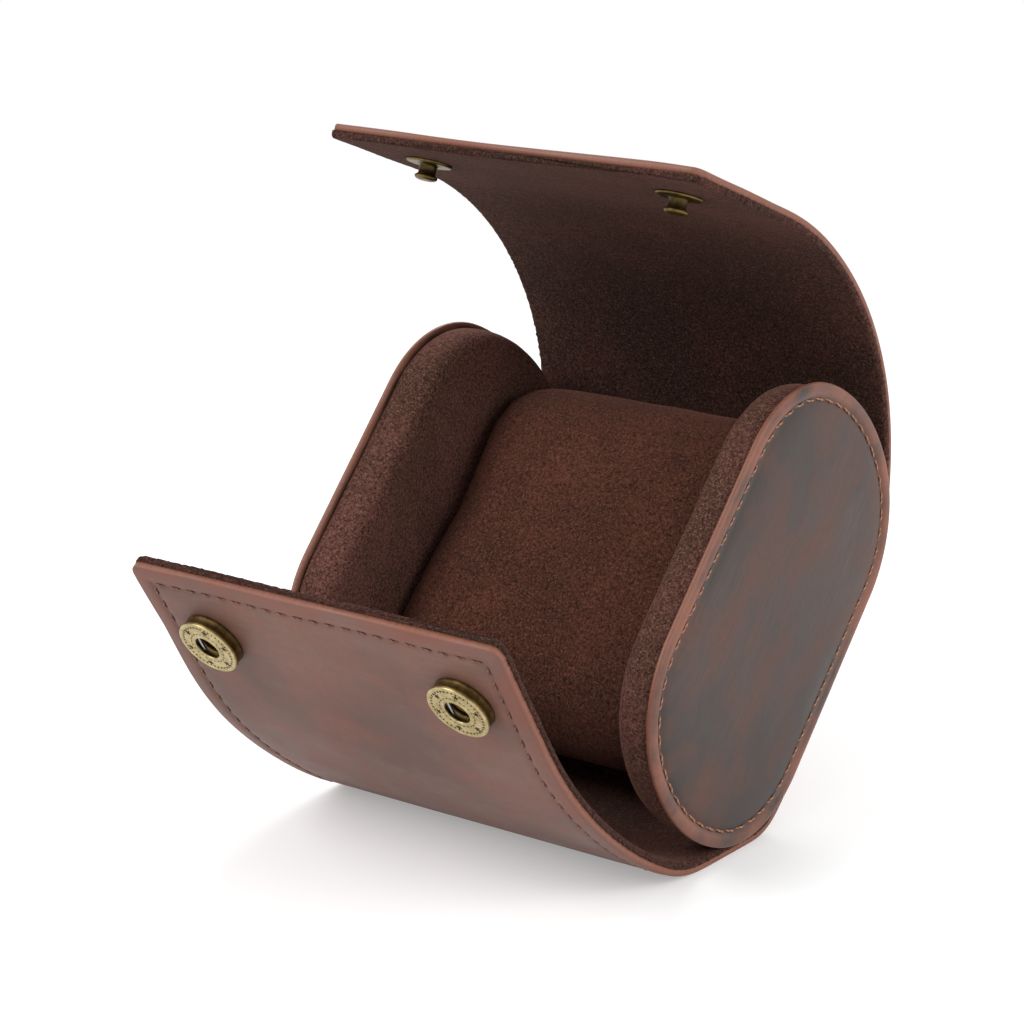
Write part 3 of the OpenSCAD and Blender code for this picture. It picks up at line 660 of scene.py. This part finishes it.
def cap_leather(side, label):
    """The cap's outer panel: a raised, rolled rim, the pressed stitch line and a slightly crowned middle."""
    r = RIM_OUT
    profile = [(-1.6, RIM_IN), (-0.3, RIM_IN), (-0.06, RIM_IN + 0.2), (0.0, RIM_IN + 0.45),
               (-0.02, r - 0.45),
               (-0.12, r - 0.2), (-0.35, r - 0.02), (-0.7, r + 0.14), (-1.2, r + 0.24), (-1.8, r + 0.24),
               (-2.3, r + 0.12), (-2.7, r - 0.1), (-3.0, r - 0.34), (-3.3, r - 0.46), (-3.6, r - 0.34),
               (-4.0, r - 0.12), (-4.6, r + 0.06), (-5.6, r + 0.2), (-7.5, r + 0.34), (-10, r + 0.44)]
    shrinks = [(t, r + 0.44 + 0.16 * (1 - t)) for t in (0.9, 0.78, 0.64, 0.5, 0.36, 0.22, 0.1)]
    panel = cap_shell(f"cap_panel_{label}", side, profile, shrinks, CAP_HIDE)
    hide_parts(f"cap_leather_{label}")
    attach(panel, "case")


def cap_suede(side, label):
    """The cap's suede: a puffed side that turns softly onto the flat inner face."""
    i, c, m = -CAP_INSET, CAP_IN, RIM_IN
    profile = [(-3.0, m - 0.02), (i - 0.35, m - 0.05), (i + 0.02, m - 0.6), (i + 0.12, m - 2.0),
               (i + 0.16, m - 3.6), (i + 0.06, m - 4.9), (i - 0.2, c + 2.2), (i - 0.7, c + 1.2),
               (i - 1.5, c + 0.5),
               (i - 2.6, c + 0.12), (i - 4.0, c + 0.02), (i - 6.5, c + 0.0), (i - 10, c + 0.02)]
    shrinks = [(t, c + 0.04) for t in (0.85, 0.7, 0.55, 0.4, 0.25, 0.1)]
    cover = cap_shell(f"cap_cover_{label}", side, profile, shrinks, CAP_SUEDE, 0.12)
    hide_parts(f"cap_suede_{label}")
    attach(cover, "case")


def cap_stitches(side, label):
    """Stitches in the pressed line, all the way round."""
    line = [Vector(p) for p in cap_outline(-3.3)]
    lengths = [(b - a).length for a, b in zip(line, line[1:] + line[:1])]
    total = sum(lengths)
    count = round(total / STITCH_PITCH)
    seats, k, walked = [], 0, 0.0
    for n in range(count):
        s = (n + 0.5) * total / count
        while walked + lengths[k] < s:
            walked += lengths[k]
            k += 1
        a, b = line[k], line[(k + 1) % len(line)]
        p = a.lerp(b, (s - walked) / lengths[k])
        d = (b - a).normalized()
        middle = seat(p.x, p.y, side * (RIM_OUT - 0.3))
        along = (seat(p.x + d.x, p.y + d.y) - seat(p.x, p.y)).normalized()
        seats.append((middle, along, Vector((side, 0, 0)), STITCH_LEN + 0.55))
    row = stitches(f"cap_stitch_row_{label}", seats, CAP_THREAD, CAP_STITCH_R)
    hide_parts(f"cap_stitching_{label}")
    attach(row, "case")


# The snaps

def snap_seats(arm):
    """Each snap's middle on the leather's outer face, with the directions ahead and outward."""
    p, along, out = arm.place(arm.length - arm.cut)
    up = Vector((0, out.x, out.y))
    return [(Vector((x, p.x, p.y)) * MM + up * WRAP * MM, Vector((0, along.x, along.y)), up)
            for x in (-SNAP_X, SNAP_X)]


def turned(name, arm, profile, material, body, node=None, segments=96):
    """Two turned pieces, one at each snap: a closed profile of (radius, height over the leather)."""
    verts, faces = [], []
    for centre, ahead, up in snap_seats(arm):
        rings = []
        for radius, height in profile:
            spots = segments if radius > 0 else 1
            rings.append([len(verts) + j for j in range(spots)])
            for j in range(spots):
                a = 2 * math.pi * j / segments
                verts.append(centre + (Vector((1, 0, 0)) * math.cos(a) + ahead * math.sin(a)) * radius * MM
                             + up * height * MM)
        for a, b in zip(rings, rings[1:] + rings[:1]):
            if len(a) == 1 and len(b) == 1:
                continue
            for j in range(segments):
                k = (j + 1) % segments
                corners = [a[j % len(a)], a[k % len(a)], b[k % len(b)], b[j % len(b)]]
                faces.append(tuple(dict.fromkeys(corners)))
    obj = piece(name, verts, faces, material)
    if node:
        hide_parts(node)
    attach(obj, body)
    return obj


def stamped(name, arm, marks, material, body):
    """Small flat marks at each snap: shapes as (points round, low, high, how much smaller at the top)."""
    verts, faces = [], []
    for centre, ahead, up in snap_seats(arm):
        for points, low, high, shrink in marks:
            start, n = len(verts), len(points)
            mid = Vector((sum(q[0] for q in points) / n, sum(q[1] for q in points) / n))
            for height, scale in ((low, 1.0), (high, shrink)):
                for q in points:
                    r = mid + (Vector(q) - mid) * scale
                    verts.append(centre + (Vector((1, 0, 0)) * r.x + ahead * r.y) * MM + up * height * MM)
            faces += ring_faces(2, n, start)
            faces.append(tuple(start + n + j for j in range(n)))
            faces.append(tuple(start + j for j in reversed(range(n))))
    obj = piece(name, verts, faces, material, smooth=False)
    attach(obj, body)


def star(radius, angle, size):
    """A five-pointed star's outline, at an angle round the socket."""
    cx, cy = radius * math.cos(angle), radius * math.sin(angle)
    reaches = [size if k % 2 == 0 else 0.42 * size for k in range(10)]
    return [(cx + reach * math.cos(angle + math.pi * k / 5), cy + reach * math.sin(angle + math.pi * k / 5))
            for k, reach in enumerate(reaches)]


def dot(radius, angle, long_way, short_way):
    """A small oblong mark, its long way towards the middle."""
    cx, cy = radius * math.cos(angle), radius * math.sin(angle)
    points = []
    for k in range(8):
        a = 2 * math.pi * k / 8
        u, v = long_way * math.cos(a), short_way * math.sin(a)
        points.append((cx + u * math.cos(angle) - v * math.sin(angle),
                       cy + u * math.sin(angle) + v * math.cos(angle)))
    return points


def dress_sockets():
    """The sockets: a drum in darker brass as painted shade, a rubbed lid with a border of dots, six stars
    and an inner ring of dots.
    """
    h = SOCKET_H
    drum = [(3.7, 0.02), (6.05, 0.02), (6.2, 0.25), (6.1, 0.6), (6.12, 1.6), (6.25, 1.85), (6.3, h - 0.7),
            (6.3, h - 0.45), (6.0, h - 0.4), (4.4, h - 0.5), (4.4, h - 1.4), (2.7, h - 1.4), (2.7, 0.5),
            (3.7, 0.5)]
    lid = [(6.28, h - 0.44), (6.3, h - 0.34), (6.24, h - 0.2), (6.08, h - 0.1), (5.88, h - 0.08),
           (5.7, h - 0.14),
           (5.52, h - 0.2), (5.2, h - 0.21), (4.4, h - 0.17), (3.9, h - 0.14), (3.72, h - 0.19),
           (3.5, h - 0.2),
           (3.3, h - 0.12), (3.1, h - 0.04), (2.9, h), (2.72, h - 0.04), (2.62, h - 0.16), (2.6, h - 0.5),
           (4.4, h - 0.48), (6.0, h - 0.44)]
    # The drum's side wall is given darker brass than its lid: painted shade.
    turned("socket_drums", FRONT, drum, PAINTED_SHADE_BRASS, "front_end", "snap_sockets")
    turned("socket_lids", FRONT, lid, BRASS, "front_end")
    marks = [(dot(5.3, 2 * math.pi * k / 40, 0.28, 0.19), h - 0.25, h - 0.17, 0.85) for k in range(40)]
    marks += [(star(4.5, 2 * math.pi * (k + 0.2) / 6, 0.8), h - 0.22, h - 0.13, 0.85) for k in range(6)]
    marks += [(dot(3.6, 2 * math.pi * k / 24, 0.15, 0.17), h - 0.22, h - 0.155, 0.85) for k in range(24)]
    stamped("socket_stamps", FRONT, marks, PATINA, "front_end")
    base = -WRAP
    head = [(0, base - 0.62), (4.2, base - 0.62), (4.75, base - 0.5), (5.0, base - 0.28),
            (5.0, base - 0.02),
            (3.0, base - 0.02), (3.0, -0.02), (3.2, 0.08), (3.6, 0.1), (3.6, 0.4), (2.8, 0.44), (2.6, 0.3),
            (2.6, base + 0.05), (0, base + 0.05)]
    # The rivet heads down in the holes are given the darker brass: painted shade inside the sockets.
    turned("socket_rivet_heads", FRONT, head, PAINTED_SHADE_BRASS, "front_end", "socket_rivets")


def dress_studs():
    """The studs on the lining, and the domed caps outside that hold them."""
    base = -WRAP
    stud = [(0, base), (4.5, base), (4.5, base - 0.3), (4.35, base - 0.52), (4.0, base - 0.6),
            (3.2, base - 0.5),
            (2.4, base - 0.52), (1.9, base - 0.7), (1.7, base - 1.0), (1.7, base - 2.35),
            (1.85, base - 2.55),
            (2.2, base - 2.8), (2.28, base - 3.0), (2.2, base - 3.25), (1.9, base - 3.5),
            (1.4, base - 3.65),
            (0.8, base - 3.7), (0, base - 3.7)]
    # The studs under the top flap are given the darker brass: painted shade.
    turned("stud_posts", TOP, stud, PAINTED_SHADE_BRASS, "top_end", "snap_studs")
    dome = [(0, base), (1.5, base), (1.5, -0.02), (6.1, -0.02), (6.2, 0.1), (6.16, 0.28), (5.9, 0.42),
            (5.6, 0.5),
            (4.8, 0.74), (3.8, 0.93), (2.6, 1.05), (1.2, 1.1), (0, 1.1)]
    turned("stud_domes", TOP, dome, PAINTED_SHADE_BRASS, "top_end", "stud_caps")


# The pillow

PILLOW_W, PILLOW_H = 35.8, 78.0
PILLOW_BACK, PILLOW_UP = 6.9, 3.0
PILLOW_HALF = 34.1
# The swelling moves no point further than this, in metres
SWELL_LIMIT = 0.0018
SEAM_AT, SEAM_DEEP, SEAM_WIDE = 31.6, 0.5, 0.5
CLOTH_FRAMES = 20


def pillow():
    """The pillow: a long round cushion, swelled by simulation, with a seam at each end."""
    straight = (PILLOW_H - PILLOW_W) / 2
    verts, around = [], 0
    places = [-1, -0.995, -0.98, -0.95, -0.88, -0.75, -0.5, -0.25, 0, 0.25, 0.5, 0.75, 0.88, 0.95, 0.98,
              0.995, 1]
    for u in places:
        r = PILLOW_W / 2 - 1.0 - 3.0 * abs(u) ** 10
        ring = [(r * math.cos(math.pi * k / 16),
                 straight + r * math.sin(math.pi * k / 16)) for k in range(17)]
        ring += [(-r, straight - 2 * straight * k / 8) for k in range(1, 8)]
        ring += [(-r * math.cos(math.pi * k / 16),
                  -straight - r * math.sin(math.pi * k / 16)) for k in range(17)]
        ring += [(r, -straight + 2 * straight * k / 8) for k in range(1, 8)]
        for x, y in ring:
            verts.append(seat(PILLOW_BACK + x, PILLOW_UP + y, u * (PILLOW_HALF - 0.8)))
        around = len(ring)
    faces = ring_faces(len(places), around)
    faces.append(tuple(reversed(range(around))))
    faces.append(tuple((len(places) - 1) * around + j for j in range(around)))
    cushion = piece("pillow_cushion", verts, faces, PILLOW_SUEDE)
    swell(cushion)
    settle_pillow(cushion)
    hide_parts("pillow_cover", "pillow_foam")
    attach(cushion, "pillow")


def applied(obj):
    """Makes the modifiers' result the mesh itself."""
    graph = bpy.context.evaluated_depsgraph_get()
    mesh = bpy.data.meshes.new_from_object(obj.evaluated_get(graph))
    obj.modifiers.clear()
    obj.data = mesh


def swell(obj):
    """Blows the cushion up as cloth, and keeps each point near where it began."""
    remesh = obj.modifiers.new("even", "REMESH")
    remesh.mode = "VOXEL"
    remesh.voxel_size = 0.003
    applied(obj)
    before = [v.co.copy() for v in obj.data.vertices]
    cloth = obj.modifiers.new("cover", "CLOTH")
    cloth.settings.quality = 6
    cloth.settings.mass = 0.15
    cloth.settings.tension_stiffness = 25
    cloth.settings.compression_stiffness = 12
    cloth.settings.bending_stiffness = 1.5
    cloth.settings.use_pressure = True
    cloth.settings.uniform_pressure_force = 3.0
    cloth.settings.effector_weights.gravity = 0
    cloth.point_cache.frame_start, cloth.point_cache.frame_end = 1, CLOTH_FRAMES
    for number in range(1, CLOTH_FRAMES + 1):
        bpy.context.scene.frame_set(number)
    applied(obj)
    bpy.context.scene.frame_set(1)
    for v, old in zip(obj.data.vertices, before):
        step = v.co - old
        if step.length > SWELL_LIMIT:
            v.co = old + step.normalized() * SWELL_LIMIT
    smooth = obj.modifiers.new("finer", "SUBSURF")
    smooth.levels = smooth.render_levels = 1
    applied(obj)


def settle_pillow(obj):
    """Presses the ends against the caps, draws the seams in, and gives the suede its slight unevenness."""
    back, up = seat(1, 0) - seat(0, 0), seat(0, 1) - seat(0, 0)
    back, up = back.normalized(), up.normalized()
    middle = seat(PILLOW_BACK, PILLOW_UP)
    for v in obj.data.vertices:
        across = v.co.x / MM
        d = v.co - middle
        n, a = d.dot(back) / MM, d.dot(up) / MM
        core = max(0.0, abs(a) - (PILLOW_H - PILLOW_W) / 2) * (1 if a > 0 else -1)
        radial = Vector((n, core))
        out = radial.normalized() if radial.length > 0.01 else Vector((0, 0))
        shift = 0.35 * noise.noise(Vector((across / 11, n / 11, a / 11)))
        shift -= SEAM_DEEP * math.exp(-((abs(across) - SEAM_AT) / SEAM_WIDE) ** 2)
        limit = PILLOW_W / 2 + 0.2
        grown = min(radial.length + shift, limit)
        if radial.length > 9:
            move = out * (grown - radial.length)
            v.co += (back * move.x + up * move.y) * MM
        v.co.x = max(-PILLOW_HALF, min(PILLOW_HALF, across)) * MM
    obj.data.polygons.foreach_set("use_smooth", [True] * len(obj.data.polygons))
    obj.data.materials.clear()
    obj.data.materials.append(PILLOW_SUEDE)


for arm in (TOP, FRONT):
    dress_arm(arm)
for side, label in ((-1, "left"), (1, "right")):
    cap_leather(side, label)
    cap_suede(side, label)
    cap_stitches(side, label)
dress_sockets()
dress_studs()
pillow()

FINISHES = {"cap_board_left": BOARD, "cap_board_right": BOARD, "pillow_foam": FOAM, "socket_springs": STEEL}
for node, material in FINISHES.items():
    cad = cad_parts[node]
    if cad.data.materials:
        for slot in cad.material_slots:
            slot.material = material
    else:
        cad.data.materials.append(material)


# Floor, light and camera

SURROUND_LIGHT = 0.55
FLOOR_LIFT = 0.31
FLOOR_HALF, FLOOR_DROP = 30, 0.0002


def studio():
    """A white floor that keeps the soft shadow, and a white surround."""
    material, tree = blank("matt_white_floor")
    matt = add(tree, "ShaderNodeBsdfPrincipled", {"Base Color": (0.8, 0.8, 0.8, 1), "Roughness": 1.0,
               "Specular IOR Level": 0.0})
    lift = add(tree, "ShaderNodeEmission", {"Color": (1, 1, 1, 1), "Strength": FLOOR_LIFT})
    lifted = add(tree, "ShaderNodeAddShader", {0: matt.outputs[0], 1: lift.outputs[0]})
    # Away from the case the floor goes over into plain white
    place = add(tree, "ShaderNodeTexCoord").outputs["Object"]
    away = add(tree, "ShaderNodeVectorMath", {0: place}, operation="LENGTH").outputs["Value"]
    away = add(tree, "ShaderNodeMapRange", {"Value": away, "From Min": 0.2,
                                            "From Max": 0.6}).outputs["Result"]
    white = add(tree, "ShaderNodeEmission", {"Color": (1, 1, 1, 1), "Strength": 1.0})
    lifted = add(tree, "ShaderNodeMixShader", {0: away, 1: lifted.outputs[0], 2: white.outputs[0]})
    rays = add(tree, "ShaderNodeLightPath")
    seen = add(tree, "ShaderNodeMath", {0: rays.outputs["Is Camera Ray"], 1: rays.outputs["Is Glossy Ray"]},
               operation="MAXIMUM")
    shown = add(tree, "ShaderNodeMixShader", {0: seen.outputs[0], 1: matt.outputs[0], 2: lifted.outputs[0]})
    add(tree, "ShaderNodeOutputMaterial", {"Surface": shown.outputs[0]})
    corners = [(-1, -1), (1, -1), (1, 1), (-1, 1)]
    floor = piece("floor", [Vector((x * FLOOR_HALF, y * FLOOR_HALF, -FLOOR_DROP)) for x, y in corners],
                  [(0, 1, 2, 3)], material)

    world = bpy.data.worlds.new("white_surround")
    bpy.context.scene.world = world
    world.use_nodes = True
    tree = world.node_tree
    tree.nodes.clear()
    light = add(tree, "ShaderNodeBackground", {"Color": (1, 1, 1, 1), "Strength": SURROUND_LIGHT})
    white = add(tree, "ShaderNodeBackground", {"Color": (1, 1, 1, 1), "Strength": 1.0})
    rays = add(tree, "ShaderNodeLightPath")
    seen = add(tree, "ShaderNodeMath", {0: rays.outputs["Is Camera Ray"], 1: rays.outputs["Is Glossy Ray"]},
               operation="MAXIMUM")
    seen = add(tree, "ShaderNodeMath", {0: seen.outputs[0], 1: rays.outputs["Is Transmission Ray"]},
               operation="MAXIMUM")
    mix = add(tree, "ShaderNodeMixShader", {0: seen.outputs[0], 1: light.outputs[0], 2: white.outputs[0]})
    add(tree, "ShaderNodeOutputWorld", {"Surface": mix.outputs[0]})


def lamp(name, place, target, size, power):
    """A soft square lamp, aimed at a point."""
    light = bpy.data.lights.new(name, "AREA")
    light.shape = "SQUARE"
    light.size = size
    light.energy = power
    obj = bpy.data.objects.new(name, light)
    obj.location = place
    obj.rotation_euler = (Vector(target) - Vector(place)).to_track_quat("-Z", "Y").to_euler()
    bpy.context.scene.collection.objects.link(obj)


def camera():
    """The camera at the photograph's place and angle."""
    azimuth, elevation = math.radians(36.8), math.radians(16.3)
    ahead = Vector((-math.sin(azimuth) * math.cos(elevation), math.cos(azimuth) * math.cos(elevation),
                    -math.sin(elevation)))
    right = Vector((math.cos(azimuth), math.sin(azimuth), 0))
    up = right.cross(ahead)
    data = bpy.data.cameras.new("camera")
    data.sensor_width = 36
    data.lens = 110.0
    obj = bpy.data.objects.new("camera", data)
    obj.matrix_world = Matrix((right, up, -ahead)).transposed().to_4x4()
    obj.location = (0.3419, -0.46167, 0.23084)
    bpy.context.scene.collection.objects.link(obj)
    bpy.context.scene.camera = obj


studio()
lamp("key", (-0.5, -0.75, 0.85), (0, 0, 0.05), 0.7, 9)
lamp("right_fill", (0.9, 0.1, 0.5), (0, 0, 0.05), 0.6, 5)
lamp("back_rim", (-0.3, 0.8, 0.7), (0, 0, 0.08), 0.5, 4)
camera()
bpy.context.scene.view_settings.view_transform = "Standard"
